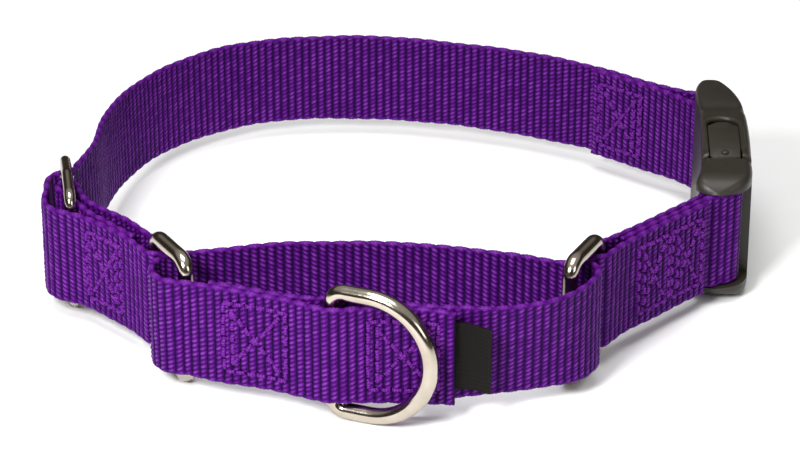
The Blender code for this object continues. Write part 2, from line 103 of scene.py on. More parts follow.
# Weave
STEP = 0.3              # mesh spacing along the webbing
ACROSS = 84             # mesh spaces across it
EDGE_STEPS = 6          # mesh spaces round each edge
RIB = 2.1               # rib pitch along the webbing
BEAD = 1.2              # yarn pitch across it
SLANT = 0.85            # how many yarns one yarn climbs across a rib
RELIEF = 0.58           # from the deepest groove to the crowns
REST_LEVEL = 0.72       # the part of the relief that lies inside the strap's thickness
SELVAGE = 11.6          # height from the middle where the woven edge starts
SELVAGE_BLEND = 0.7

# Sewing
SEAM_HEIGHT = 18.0
STITCH = 2.9
THREAD = 0.48           # thread radius
TWIST = 7.0             # turn of the thread's two plies along a stitch, in radians
HOLE = 0.52             # radius of a needle hole
CROSS_INSET = 1.7       # from the box to the cross inside it
SECOND_ROW = 2.2        # from the box's end to the second row beside it

# Tag
TAG_LOW = 8.2
TAG_HIGH = 26.8
TAG_HALF = 0.16         # half of the folded tape's thickness
TEXTURE_SCALE = 0.01    # texture units for a millimetre


# ---------------------------------------------------------------- plan curves, as in the CAD part

def turned(degrees):
    """The plan direction at an angle."""
    return Vector((math.cos(math.radians(degrees)), math.sin(math.radians(degrees))))


def arc(centre, radius, start, end, steps=8):
    return [centre + turned(start + (end - start) * i / steps) * radius for i in range(steps + 1)]


def smooth(points, spacing):
    """An even curve through every point (Catmull-Rom, chord-length knots)."""
    pts = [Vector(p) for p in points]
    pts = [pts[0] * 2 - pts[1]] + pts + [pts[-1] * 2 - pts[-2]]
    curve = []
    for a, b, c, d in zip(pts, pts[1:], pts[2:], pts[3:]):
        t0 = 0.0
        t1 = t0 + max((b - a).length, 1e-6) ** 0.5
        t2 = t1 + max((c - b).length, 1e-6) ** 0.5
        t3 = t2 + max((d - c).length, 1e-6) ** 0.5
        steps = max(1, math.ceil((c - b).length / spacing))
        for i in range(steps):
            t = t1 + (t2 - t1) * i / steps
            ab = a * ((t1 - t) / (t1 - t0)) + b * ((t - t0) / (t1 - t0))
            bc = b * ((t2 - t) / (t2 - t1)) + c * ((t - t1) / (t2 - t1))
            cd = c * ((t3 - t) / (t3 - t2)) + d * ((t - t2) / (t3 - t2))
            abc = ab * ((t2 - t) / (t2 - t0)) + bc * ((t - t0) / (t2 - t0))
            bcd = bc * ((t3 - t) / (t3 - t1)) + cd * ((t - t1) / (t3 - t1))
            curve.append(abc * ((t2 - t) / (t2 - t1)) + bcd * ((t - t1) / (t2 - t1)))
    curve.append(pts[-2])
    return curve


def local(origin, along, across):
    """A function from distances along and across to plan points."""
    return lambda s, n: origin + along * s + across * n


on_slide = local(SLIDE_CENTRE, turned(SLIDE_ANGLE), turned(SLIDE_ANGLE - 90))
on_stack = local(LEFT_FOLD, turned(133.0), turned(223.0))
on_buckle = local(BUCKLE_CENTRE, turned(BUCKLE_ANGLE), turned(BUCKLE_ANGLE + 90))
tab_along = (on_buckle(*PLUG_BAR) - RIGHT_FOLD).normalized()
tab_out = Vector((tab_along.y, -tab_along.x))
on_tab = local(RIGHT_FOLD, tab_along, tab_out)


def slide_arc(bar, radius, start, end, steps=8):
    """An arc round one of the adjuster's bars."""
    points = []
    for i in range(steps + 1):
        angle = turned(start + (end - start) * i / steps) * radius
        points.append(on_slide(bar + angle.x, angle.y))
    return points


def neck_points():
    fold = [(53.2, 78.4), (58.5, 74.0), (63.8, 69.6), (72.9, 62.0)]
    socket = arc(on_buckle(*SOCKET_BAR), WRAP, 214, 394, 10)
    back = [
        (81.4, 61.2), (75.6, 63.6), (65.0, 71.2), (54.3, 79.8), (34.4, 90.4), (11.6, 98.2),
        (-9.2, 101.8), (-31.9, 100.6), (-48.6, 94.2), (-64.6, 79.5), (-74.0, 62.0), (-78.2, 45.0),
        (-79.4, 29.0), (-81.3, 20.5),
    ]
    over = [
        on_slide(-12.9, -2.9), on_slide(-10.0, -1.9), on_slide(-9.0, 0.8), on_slide(-7.2, 3.4),
        on_slide(-4.2, 4.9), on_slide(0.5, 5.4), on_slide(5.5, 6.2), on_slide(9.4, 5.9),
        on_slide(12.8, 4.0),
    ]
    outer = [on_stack(26, 2.5), on_stack(16, 1.85), on_stack(8, 1.95)]
    ring = arc(LEFT_FOLD, RING_WRAP, 223, 403, 10)
    inner = [on_stack(9, -3.6), on_stack(18, -4.4), on_stack(27, -3.9), on_slide(8.5, -4.1)]
    bar = slide_arc(0, SLIDE_WRAP, 285, 65, 11)
    end = [
        on_slide(6.1, -0.1), on_slide(11.0, -2.4), on_stack(25.5, -0.1), on_stack(16, 0), on_stack(9, 0),
    ]
    return fold + socket + back + over + outer + ring + inner + bar + end


def loop_points():
    outer = [
        (12.8, -65.6), (8.0, -64.5), (2.0, -63.8), (-4.0, -63.4), (-9.6, -63.6), (-16.4, -64.05),
        (-22.2, -61.5), (-28.0, -58.6), (-34.0, -56.3), (-41.0, -53.9), (-46.5, -51.8),
    ]
    left_turn = arc(Vector((-51.5, -42.2)), 7.7, -88, -268, 12)
    back = [
        (-43.0, -33.0), (-34.0, -30.5), (-25.0, -29.2), (-15.7, -28.8), (-6.5, -29.1), (2.7, -30.0),
        (12.0, -31.8), (21.0, -33.6), (28.7, -35.8), (33.6, -37.8), (38.5, -39.4), (42.6, -39.2),
    ]
    right_turn = [(45.8, -40.6), (47.2, -44.2), (45.6, -48.8), (42.2, -53.3), (37.0, -56.9)]
    under = [
        (28.6, -60.0), (20.7, -61.5), (13.6, -62.0), (8.0, -62.4), (2.0, -61.8), (-4.0, -61.4),
        (-8.4, -60.6), (-11.8, -58.8), (-15.6, -57.9), (-20.4, -58.4), (-27.3, -56.8), (-33.3, -54.5),
        (-40.3, -52.1), (-45.0, -50.3),
    ]
    return outer + left_turn + back + right_turn + under


def tab_points():
    outer = [on_tab(39, 2.0), on_tab(30, 1.8), on_tab(20, 1.8), on_tab(8, 1.9)]
    facing = math.degrees(math.atan2(tab_out.y, tab_out.x))
    ring = arc(RIGHT_FOLD, RING_WRAP, facing, facing - 180, 10)
    inner = [on_tab(8, -2.0), on_tab(20, -1.8), on_tab(32, -1.8), on_tab(41, -2.0)]
    bar = arc(on_buckle(*PLUG_BAR), WRAP, facing - 180, facing - 360, 10)
    middle = [on_tab(44.9, 1.9), on_tab(41, 0.1), on_tab(37, 0), on_tab(20, 0), on_tab(9, 0)]
    return outer + ring + inner + bar + middle


# ---------------------------------------------------------------- meshes

def place(x, y, z):
    """Millimetre plan points to metres in the frame."""
    return np.stack([(x - FOOTPRINT_CENTRE.x) * MM, (y - FOOTPRINT_CENTRE.y) * MM, z * MM], axis=-1)


def lean(x, y, z):
    """The right half of the loop's front leans outwards at the top."""
    rise = np.clip((x - 4.0) / 18.0, 0, 1)
    fall = np.clip((46.0 - x) / 12.0, 0, 1)
    front = np.clip((-44.0 - y) / 8.0, 0, 1)
    ease = 1.0
    for part in (rise, fall, front):
        ease = ease * part * part * (3 - 2 * part)
    return y - LEAN * ease * (z - MID_Z)


def scatter(a, b, seed=0.0):
    """A repeatable random number from 0 to 1 for each pair."""
    value = np.sin(a * 127.1 + b * 311.7 + seed * 74.7) * 43758.5453
    return value - np.floor(value)


def mesh_object(name, verts, quads, look, uv=None, values=None):
    """An object from arrays, with an optional UV and point values."""
    mesh = bpy.data.meshes.new(name)
    faces = np.asarray(quads, dtype=np.int32)
    mesh.vertices.add(len(verts))
    mesh.vertices.foreach_set("co", np.asarray(verts, dtype=np.float32).ravel())
    mesh.loops.add(faces.size)
    mesh.loops.foreach_set("vertex_index", faces.ravel())
    mesh.polygons.add(len(faces))
    mesh.polygons.foreach_set("loop_start", np.arange(0, faces.size, faces.shape[1], dtype=np.int32))
    mesh.update(calc_edges=True)
    if uv is not None:
        layer = mesh.uv_layers.new(name="weave")
        layer.data.foreach_set("uv", np.asarray(uv, dtype=np.float32)[faces.ravel()].ravel())
    for key, value in (values or {}).items():
        mesh.attributes.new(key, "FLOAT", "POINT").data.foreach_set("value", value.astype(np.float32).ravel())
    mesh.polygons.foreach_set("use_smooth", np.ones(len(faces), dtype=bool))
    mesh.materials.append(look)
    mesh.validate()
    made = bpy.data.objects.new(name, mesh)
    bpy.context.scene.collection.objects.link(made)
    return made


def grid(rows, columns, wrap):
    """Quads over a grid of points, its rows closed into rings if wrap."""
    i = np.arange(rows - 1)[:, None]
    k = np.arange(columns if wrap else columns - 1)[None, :]
    j = (k + 1) % columns
    near, far = i * columns, (i + 1) * columns
    return np.stack([near + k, near + j, far + j, far + k], -1).reshape(-1, 4)


class Strap:
    """The middle line of a strap, even along its length."""

    def __init__(self, points, leans=False):
        raw = np.array([tuple(p) for p in smooth(points, 0.3)])
        run = np.concatenate([[0], np.cumsum(np.hypot(*np.diff(raw, axis=0).T))])
        count = round(run[-1] / STEP)
        self.s = np.linspace(0, run[-1], count + 1)
        self.line = np.stack([np.interp(self.s, run, raw[:, k]) for k in (0, 1)], -1)
        tangent = np.gradient(self.line, axis=0)
        even = np.ones(5) / 5
        tangent = np.stack([np.convolve(np.pad(tangent[:, k], 2, "edge"), even, "valid") for k in (0, 1)], -1)
        tangent /= np.hypot(*tangent.T)[:, None]
        self.normal = np.stack([-tangent[:, 1], tangent[:, 0]], -1)
        self.leans = leans

    def near(self, point):
        """The distance along of the nearest place to a plan point."""
        return self.s[np.argmin(np.hypot(*(self.line - np.array(tuple(point))).T))]

    def at(self, s, t, n):
        """Points in the frame from distance along, distance up from the middle, and offset."""
        line = [np.interp(s, self.s, self.line[:, k]) for k in (0, 1)]
        normal = [np.interp(s, self.s, self.normal[:, k]) for k in (0, 1)]
        x = line[0] + normal[0] * n
        y = line[1] + normal[1] * n
        z = MID_Z + t
        return place(x, lean(x, y, z) if self.leans else y, z)


def weave(s, t):
    """Height of the yarns, from 0 in the grooves to 1 on their crowns."""
    column = np.floor(s / RIB)
    u = s / RIB - column - 0.5
    crown = np.clip(1 - (2 * u) ** 2 * 0.97, 0, 1) ** 0.85
    phase = t / BEAD + SLANT * u + 0.5 * (column % 2) + 0.55 * scatter(column, 1.0)
    bead = np.abs(np.cos(math.pi * phase)) ** 0.8
    uneven = 0.84 + 0.26 * scatter(column, np.round(phase), 3.0)
    yarns = crown * (0.25 + 0.75 * bead) * uneven
    # The weft turns back at the edges over every second rib, and shows there as a row of larger bumps
    edge = np.clip((np.abs(t) - SELVAGE) / SELVAGE_BLEND, 0, 1)
    loops = 0.46 + 0.40 * np.abs(np.cos(math.pi * s / (2 * RIB) + 0.7 * np.sign(t))) ** 0.7
    loops = loops * (0.80 + 0.20 * np.abs(np.cos(math.pi * (s / 0.95 + 0.8 * t))))
    return yarns * (1 - edge) + loops * edge


def section():
    """Round the strap: height t, offset n, and the outward direction of each point."""
    half = STRAP_THICK / 2
    flat = STRAP_WIDTH / 2 - half
    t = np.linspace(-flat, flat, ACROSS + 1)
    turn = np.linspace(math.pi / 2, -math.pi / 2, EDGE_STEPS + 1)[1:-1]
    rows = [(a, half, 0.0, 1.0) for a in t]
    rows += [(flat + half * math.cos(a), half * math.sin(a), math.cos(a), math.sin(a)) for a in turn]
    rows += [(a, -half, 0.0, -1.0) for a in t[::-1]]
    rows += [(-flat - half * math.cos(a), -half * math.sin(a), -math.cos(a), -math.sin(a)) for a in turn]
    return np.array(rows).T


def stitch_lines(length):
    """A box with a cross, as straight runs of (along, up) from corner to corner."""
    half, inset = SEAM_HEIGHT / 2, CROSS_INSET
    row = length - SECOND_ROW
    box = [(0, -half), (0, half), (length, half), (length, -half), (0, -half)]
    runs = list(zip(box, box[1:]))
    runs += [((inset, -half + inset), (length - inset, half - inset)),
             ((inset, half - inset), (length - inset, -half + inset)),
             ((row, -half + 1.4), (row, half - 1.4))]
    return runs


def stitches(start, length, seed):
    """Each stitch as its two ends, (s0, t0, s1, t1), a little off the line as a machine leaves them."""
    made = []
    for number, (a, b) in enumerate(stitch_lines(length)):
        reach = math.hypot(b[0] - a[0], b[1] - a[1])
        count = max(2, round(reach / STITCH))
        for i in range(count):
            ends = []
            for q in (i + 0.06, i + 0.94):
                wander = 0.35 * (scatter(np.float64(i + 10 * number), np.float64(round(q)), seed) - 0.5)
                f = q / count
                ends += [start + a[0] + (b[0] - a[0]) * f + wander, a[1] + (b[1] - a[1]) * f + wander * 0.6]
            made.append(ends)
    return np.array(made)


def end_cap(columns):
    """Quads over the cut end of a strap; turn_out() closes the triangle left at each rounded edge."""
    face = np.arange(ACROSS + 1)
    back = 2 * ACROSS + EDGE_STEPS - face
    quads = [np.stack([face[:-1], face[1:], back[1:], back[:-1]], -1)]
    for ring in (np.arange(ACROSS, ACROSS + EDGE_STEPS + 1),
                 np.append(np.arange(2 * ACROSS + EDGE_STEPS, columns), 0)):
        quads.append([(ring[k], ring[k + 1], ring[-k - 2], ring[-k - 1]) for k in range(EDGE_STEPS // 2 - 1)])
    return np.concatenate(quads)


def webbing(name, strap, look, sewn):
    """The woven strap, pressed in along its stitches. sewn is a list of (stitches, side)."""
    t, n, out_t, out_n = section()
    s = strap.s[:, None]
    height = weave(s, t[None, :])
    press = np.zeros_like(height)
    for runs, side in sewn:
        low = max(np.searchsorted(strap.s, runs[:, [0, 2]].min() - 2), 0)
        high = np.searchsorted(strap.s, runs[:, [0, 2]].max() + 2)
        ss = strap.s[low:high, None]
        facing = (n * side > 0)[None, :]
        for s0, t0, s1, t1 in runs:
            ds, dt = s1 - s0, t1 - t0
            q = np.clip(((ss - s0) * ds + (t - t0) * dt) / (ds * ds + dt * dt), 0, 1)
            off = np.hypot(ss - s0 - q * ds, t - t0 - q * dt)
            groove = 0.30 * np.exp(-(off / 0.70) ** 2)
            ends = np.minimum(np.hypot(ss - s0, t - t0), np.hypot(ss - s1, t - t1))
            groove = np.maximum(groove, 1.15 * np.exp(-(ends / HOLE) ** 2))
            press[low:high] = np.maximum(press[low:high], groove * facing)
    lift = RELIEF * (height - REST_LEVEL) - 0.34 * press
    drift = 0.10 * np.sin(s / 7.3) + 0.07 * np.sin(s / 3.1 + 1.7)
    slack = 0.05 * np.sin(s / 5.7 + t / 6.0)
    edge = 1 + 0.55 * np.abs(out_t)
    tt = t + out_t * lift * edge + drift * t / (STRAP_WIDTH / 2)
    nn = n + out_n * (lift + slack)
    verts = strap.at(np.broadcast_to(s, tt.shape), tt, nn)
    rows, columns = tt.shape
    cap = end_cap(columns)
    faces = np.concatenate([grid(rows, columns, True), cap[:, ::-1], cap + (rows - 1) * columns])
    uv = np.stack([np.broadcast_to(s, tt.shape), np.broadcast_to(t + n, tt.shape)], -1)
    # The crown value also carries painted shade: it is lower in the grooves and at the stitches and needle
    # holes, and the nylon's colour darkens with it.
    values = {"crown": np.clip(height - 0.8 * np.clip(press - 0.3, 0, 1), 0, 1)}
    made = mesh_object(name, verts.reshape(-1, 3), faces, look, uv.reshape(-1, 2) * TEXTURE_SCALE, values)
    turn_out(made)
    return made


def turn_out(made, sides=4):
    """Close holes of up to so many sides, or all of them for 0, and make every face look outwards."""
    bm = bmesh.new()
    bm.from_mesh(made.data)
    bmesh.ops.holes_fill(bm, edges=bm.edges, sides=sides)
    bmesh.ops.recalc_face_normals(bm, faces=bm.faces)
    bm.to_mesh(made.data)
    bm.free()


def sewing(name, strap, runs, side, look):
    """Stitches in twisted thread, their ends pulled into the webbing."""
    sides, steps = 8, 10
    q = np.linspace(0, 1, steps + 1)
    turn = np.linspace(0, 2 * math.pi, sides, endpoint=False)
    verts, faces, twist = [], [], []
    for index, (s0, t0, s1, t1) in enumerate(runs):
        ds, dt = s1 - s0, t1 - t0
        reach = math.hypot(ds, dt)
        rise = STRAP_THICK / 2 - 0.58 + 0.70 * np.sin(math.pi * q) ** 0.5
        ply = 1 + 0.16 * np.cos(2 * (turn[None, :] - TWIST * q[:, None]))
        radius = THREAD * ply * (0.94 + 0.12 * scatter(np.float64(index), 5.0))
        across = radius * np.cos(turn)
        s = s0 + ds * q[:, None] - dt / reach * across
        t = t0 + dt * q[:, None] + ds / reach * across
        n = side * (rise[:, None] + radius * np.sin(turn) * 0.8)
        base = len(verts) * (steps + 1) * sides
        verts.append(strap.at(s, t, n).reshape(-1, 3))
        faces.append(grid(steps + 1, sides, True) + base)
        for row in (0, steps):
            ring = base + row * sides + np.arange(sides)
            faces.append(np.array([(ring[0], ring[1], ring[2], ring[3]), (ring[0], ring[3], ring[4], ring[7]),
                                   (ring[4], ring[5], ring[6], ring[7])]))
        twist.append(np.broadcast_to((q[:, None] * reach * 3 + turn / math.pi), s.shape).ravel())
    made = mesh_object(name, np.concatenate(verts), np.concatenate(faces), look, None,
                       {"ply": np.concatenate(twist)})
    turn_out(made)
    return made


def sweep(name, points, radius, plane, look, sides=20, closed=True):
    """Round wire along a flat line of space points; radius may be one number or one a point."""
    pts = np.array([tuple(p) for p in points])
    count = len(pts)
    radii = np.broadcast_to(np.asarray(radius, dtype=float), (count,))[:, None, None]
    if closed:
        run = np.roll(pts, -1, 0) - np.roll(pts, 1, 0)
    else:
        run = np.gradient(pts, axis=0)
    run /= np.linalg.norm(run, axis=1)[:, None]
    plane = np.array(plane, dtype=float)
    plane /= np.linalg.norm(plane)
    outward = np.cross(run, plane)
    turn = np.linspace(0, 2 * math.pi, sides, endpoint=False)
    ring = np.cos(turn)[None, :, None] * outward[:, None, :] + np.sin(turn)[None, :, None] * plane
    verts = pts[:, None, :] + ring * radii
    faces = grid(count + 1 if closed else count, sides, True) % (count * sides)
    verts = place(verts[..., 0], verts[..., 1], verts[..., 2]).reshape(-1, 3)
    made = mesh_object(name, verts, faces, look)
    turn_out(made, 4 if closed else 0)
    return made


def corner(centre, radius, start, steps=10):
    """A quarter circle."""
    return [Vector(centre) + turned(start + 90.0 * i / steps) * radius for i in range(steps + 1)]


def divided(flat, spacing=0.8):
    """A closed flat line with its long edges divided."""
    made = []
    for a, b in zip(flat, flat[1:] + flat[:1]):
        steps = max(1, round((b - a).length / spacing))
        made += [a.lerp(b, i / steps) for i in range(steps)]
    return made


def welded(flat, radius, where):
    """Wire radii, with the raised bead of a butt weld at one point."""
    away = np.array([(p - Vector(where)).length for p in flat])
    return radius * (1 + 0.09 * np.exp(-(away / 0.75) ** 2))


# ---------------------------------------------------------------- hardware

def loop_ring(name, fold, caught, look):
    """A rectangular wire ring from a fold to the loop's turn."""
    run = caught - fold
    along = run.normalized()
    rise = MID_Z - RING_WIRE
    c = RING_CORNER
    flat = corner((c, c - rise), c, 180) + corner((run.length - c, c - rise), c, 270)
    flat += corner((run.length - c, rise - c), c, 0) + corner((c, rise - c), c, 90)
    flat = divided(flat)
    points = [(*(fold + along * p.x), MID_Z + p.y) for p in flat]
    return sweep(name, points, welded(flat, RING_WIRE, RING_WELD), (along.y, -along.x, 0), look)


def d_ring(look):
    """The leash ring."""
    rise = MID_Z - RING_WIRE
    flat = corner((D_CORNER, D_CORNER - rise), D_CORNER, 180)
    flat += [Vector((D_REACH - rise, 0)) + turned(-90 + 180.0 * i / 64) * rise for i in range(65)]
    flat += corner((D_CORNER, rise - D_CORNER), D_CORNER, 90)
    flat = divided(flat)
    along = turned(D_ANGLE)
    points = [(*(D_BAR + along * p.x), MID_Z + p.y) for p in flat]
    radii = welded(flat, RING_WIRE, D_WELD)
    return sweep("leash_d_ring", points, radii, (along.y, -along.x, 0), look, 24)


def slide_adjuster(look):
    """A wire frame, bowed in at its outer bars, and its middle bar with a fillet at each end."""
    rise = SLIDE_HEIGHT / 2 - SLIDE_WIRE
    c, span, bow = SLIDE_CORNER, SLIDE_REACH, SLIDE_BOW
    flat = corner((c - span, c - rise + bow), c, 180) + [Vector((0, -rise))]
    flat += corner((span - c, c - rise + bow), c, 270) + corner((span - c, rise - c - bow), c, 0)
    flat += [Vector((0, rise))] + corner((c - span, rise - c - bow), c, 90)
    flat = divided(flat)
    along = turned(SLIDE_ANGLE)
    points = [(*on_slide(p.x, 0), MID_Z + p.y) for p in flat]
    made = sweep("tri_glide", points, SLIDE_WIRE, (along.y, -along.x, 0), look)
    heights = np.linspace(-rise, rise, 40)
    fillet = SLIDE_WIRE * (1 + 0.22 * np.exp(-((rise - np.abs(heights)) / 1.6) ** 2))
    upright = [(*SLIDE_CENTRE, MID_Z + h) for h in heights]
    bar = sweep("tri_glide_bar", upright, fillet, (along.y, -along.x, 0), look, closed=False)
    return made, bar


def faced(name, points, faces):
    """A closed object from plan points and faces of any number of sides."""
    x, y, z = np.array(points).T
    mesh = bpy.data.meshes.new(name)
    mesh.from_pydata(place(x, y, z).tolist(), [], faces)
    made = bpy.data.objects.new(name, mesh)
    bpy.context.scene.collection.objects.link(made)
    turn_out(made)
    return made


def solid(name, outline, low, high, upright=True):
    """A prism in the buckle: an outline of (w, v) standing up, or of (w, z) lying across it."""
    count = len(outline)
    verts = []
    for level in (low, high):
        for a, b in outline:
            plan = on_buckle(a, b) if upright else on_buckle(a, level)
            verts.append((*plan, level if upright else b))
    faces = [tuple(range(count)), tuple(range(2 * count - 1, count - 1, -1))]
    faces += [(i, (i + 1) % count, count + (i + 1) % count, count + i) for i in range(count)]
    return faced(name, verts, faces)


def applied(made):
    """Put the result of an object's modifiers in place of its mesh."""
    bpy.context.view_layer.update()
    graph = bpy.context.evaluated_depsgraph_get()
    baked = bpy.data.meshes.new_from_object(made.evaluated_get(graph))
    made.modifiers.clear()
    made.data = baked
    return made


def combine(made, others, operation):
    """Boolean the others into an object, and remove them."""
    for other in others:
        step = made.modifiers.new(operation, "BOOLEAN")
        step.operation = operation
        step.solver = "EXACT"
        step.object = other
        applied(made)
        bpy.data.objects.remove(other)
    return made


def rounded(made, width, segments=4, limit=SHARP_EDGE):
    """Round the edges that turn more than a limit in degrees."""
    step = made.modifiers.new("rounded", "BEVEL")
    step.width = width * MM
    step.segments = segments
    step.limit_method = "ANGLE"
    step.angle_limit = math.radians(limit)
    return applied(made)


def moulded(made, look):
    """Finish a buckle part: smooth, with its sharp corners kept."""
    made.data.materials.clear()
    made.data.materials.append(look)
    made.data.shade_smooth()
    made.data.set_sharp_from_angle(angle=math.radians(SHARP_EDGE))
    return made


def block(name, w, v, z):
    """A box in the buckle, from its ranges of w, v and z."""
    return solid(name, [(w[0], v[0]), (w[1], v[0]), (w[1], v[1]), (w[0], v[1])], z[0], z[1])


def rod(name, at, radius, low, high):
    """An upright round bar in the buckle."""
    outline = [tuple(Vector(at) + turned(360 * i / 40) * radius) for i in range(40)]
    return solid(name, outline, low, high)


def curve_through(points, at):
    """A smooth curve of v against w, read at each w."""
    line = np.array([tuple(p) for p in smooth(sorted(points), 0.2)])
    return np.interp(at, line[:, 0], line[:, 1])


def rounded_section(low, high, half, radius):
    """A rectangle of v and z with round corners."""
    middle, width = (low + high) / 2, (high - low) / 2
    r = min(radius, width * 0.96, half * 0.96)
    turns = [corner((middle + sv * (width - r), sz * (half - r)), r, start, 8)
             for start, sv, sz in ((0, 1, 1), (90, -1, 1), (180, -1, -1), (270, 1, -1))]
    points = []
    for turn, following in zip(turns, turns[1:] + turns[:1]):
        points += turn + [turn[-1].lerp(following[0], i / 6) for i in range(1, 6)]
    return points


def lofted(name, stations, low, high, half, radius):
    """A closed body through rounded sections at stations of w."""
    verts = []
    for w, a, b, h in zip(stations, low, high, half):
        ring = rounded_section(a, b, h, radius)
        verts += [(*on_buckle(w, v), MID_Z + z) for v, z in ring]
    columns = len(ring)
    last = (len(stations) - 1) * columns
    faces = grid(len(stations), columns, True).tolist()
    faces += [tuple(range(columns)), tuple(range(last + columns - 1, last - 1, -1))]
    return faced(name, verts, faces)


def end_drop(distance, radius):
    """How far a round end has fallen at a distance from its tip."""
    reach = np.clip(radius - distance, 0, radius)
    return radius - np.sqrt(radius * radius - reach * reach)


def socket(look):
    """The shell on the neck strap: a channel for the plug, two windows, a slot and its bar."""
    far = SOCKET_END
    stations = far + 0.05 + (MOUTH - far - 0.05) * (1 - np.cos(np.linspace(0, math.pi / 2, 60)))
    stations = np.append(stations[:-1], [MOUTH - 0.45, MOUTH])
    stations = np.unique(np.round(stations, 4))
    low = curve_through([(MOUTH, -6.2), (0.0, -5.7), (-12.0, -5.6), (-22.0, -6.2), (-28.5, -5.8),
                         (far + 1.2, -4.4), (far, -1.8)], stations)
    high = curve_through([(far, -1.4), (far + 1.6, 0.8), (-26.5, 3.6), (-20.0, 5.5), (-12.0, 6.4),
                          (0.0, 6.8), (MOUTH, 6.6)], stations)
    half = HEIGHT / 2 - end_drop(stations - far + 0.5, SOCKET_ROUND)
    waist = 0.45 * np.exp(-((stations + 13.5) / 2.2) ** 2)
    half = half - waist
    half[-1] -= END_ROUND
    high[-1] -= END_ROUND
    low[-1] += END_ROUND
    made = lofted("socket_shell", stations, low, high, half, 2.0)
    inner = CHANNEL_HALF - 0.03
    inside = block("inside", (-17.6, MOUTH + 5), (-inner, inner), (WALL, HEIGHT - WALL))
    window = [(MOUTH + 5, -CHANNEL_HALF), (MOUTH + 5, CHANNEL_HALF), (WINDOW_END, CHANNEL_HALF)]
    window += [tuple(Vector((WINDOW_END, 0)) + turned(90 + 7.5 * i) * CHANNEL_HALF) for i in range(1, 24)]
    window += [(WINDOW_END, -CHANNEL_HALF)]
    sides = solid("sides", window, -5, HEIGHT + 5)
    slot = block("slot", (far - 5, SLOT_WALL), (-20, 20), (SHOULDER + 0.03, HEIGHT - SHOULDER - 0.03))
    combine(made, [slot, inside, sides], "DIFFERENCE")
    combine(made, [rod("bar", SOCKET_BAR, BAR_RADIUS, SHOULDER - 1, HEIGHT - SHOULDER + 1)], "UNION")
    return moulded(made, look)


def window_rims(look):
    """The soft raised rim round each side window of the socket."""
    made = []
    reach = CHANNEL_HALF + 0.5
    for name, height in (("window_rim_top", HEIGHT - 0.62), ("window_rim_bottom", 0.62)):
        flat = [(w, reach) for w in np.linspace(MOUTH - 1.2, WINDOW_END, 24)]
        flat += [tuple(Vector((WINDOW_END, 0)) + turned(90 + 6 * i) * reach) for i in range(1, 30)]
        flat += [(w, -reach) for w in np.linspace(WINDOW_END, MOUTH - 1.2, 24)]
        radii = np.full(len(flat), 0.82)
        radii[:6] *= np.linspace(0.15, 1, 6)
        radii[-6:] *= np.linspace(1, 0.15, 6)
        points = [(*on_buckle(*p), height) for p in flat]
        made.append(sweep(name, points, radii, (0, 0, 1), look, 12, closed=False))
    return made


def plug(look):
    """The shell on the tab: a slot and its bar, and the tongue that guides it into the socket."""
    wall = MOUTH + 0.4
    near = PLUG_END
    stations = near - 0.03 - (near - 0.03 - wall) * (1 - np.cos(np.linspace(0, math.pi / 2, 50)))
    stations = np.unique(np.round(np.append(stations, [wall + 0.4]), 4))
    low = curve_through([(wall, -6.2), (21.0, -6.4), (25.5, -7.2), (28.8, -7.8), (near - 2.0, -6.9),
                         (near - 0.5, -4.5), (near, -1.9)], stations)
    high = curve_through([(near, -1.5), (near - 1.2, 1.6), (29.4, 4.3), (26.2, 6.0), (22.0, 6.6),
                          (wall, 6.6)], stations)
    half = HEIGHT / 2 - PLUG_INSET - end_drop(near + 1 - stations, PLUG_ROUND)
    half[0] -= 0.35
    high[0] -= 0.35
    low[0] += 0.35
    made = lofted("plug_shell", stations, low, high, half, 2.2)
    top = HEIGHT - SHOULDER
    combine(made, [block("slot", (wall + 4.4, near + 5), (-20, 20), (SHOULDER, top))], "DIFFERENCE")
    tongue = rounded(block("tongue", (-14.0, wall + 1), (-2.4, 2.4), (MID_Z - 4.2, MID_Z + 4.2)), 0.8, 3)
    combine(made, [rod("bar", PLUG_BAR, BAR_RADIUS, SHOULDER - 1, top + 1), tongue], "UNION")
    return moulded(made, look)


def arm(name, side, look):
    """A side arm with a roof-shaped head and a thumb ridge near its root. Its outline is (w, depth)."""
    outline = [
        (ARM_ROOT, 6.6), (ARM_ROOT, 3.7), (15.6, 3.4), (14.9, 1.5), (12.6, 0.5), (8.0, 0.1), (1.0, 0.1),
        (-4.3, 0.5), (-5.4, 2.4), (-4.8, 7.6), (1.5, 8.8), (9.0, 8.2),
    ]
    outline = [(w, MID_Z + side * (MID_Z - depth)) for w, depth in outline]
    reach = CHANNEL_HALF - 0.4
    made = solid(name, outline, -reach, reach, False)
    root_end = ARM_ROOT + 1
    roof = [(ARM_TIP, 0), (ARM_FLANK, -CHANNEL_HALF), (root_end, -CHANNEL_HALF),
            (root_end, CHANNEL_HALF), (ARM_FLANK, CHANNEL_HALF)]
    combine(made, [solid("roof", roof, -1, HEIGHT + 1)], "INTERSECT")
    rounded(made, 0.6, 4, 30)
    under = MID_Z + side * (MID_Z - 2.7)
    ridge = rounded(rod("ridge", (13.6, 0), 1.0, under - 2.2, under + 2.2), 0.5, 3)
    combine(made, [ridge], "UNION")
    return moulded(made, look)


# ---------------------------------------------------------------- tag

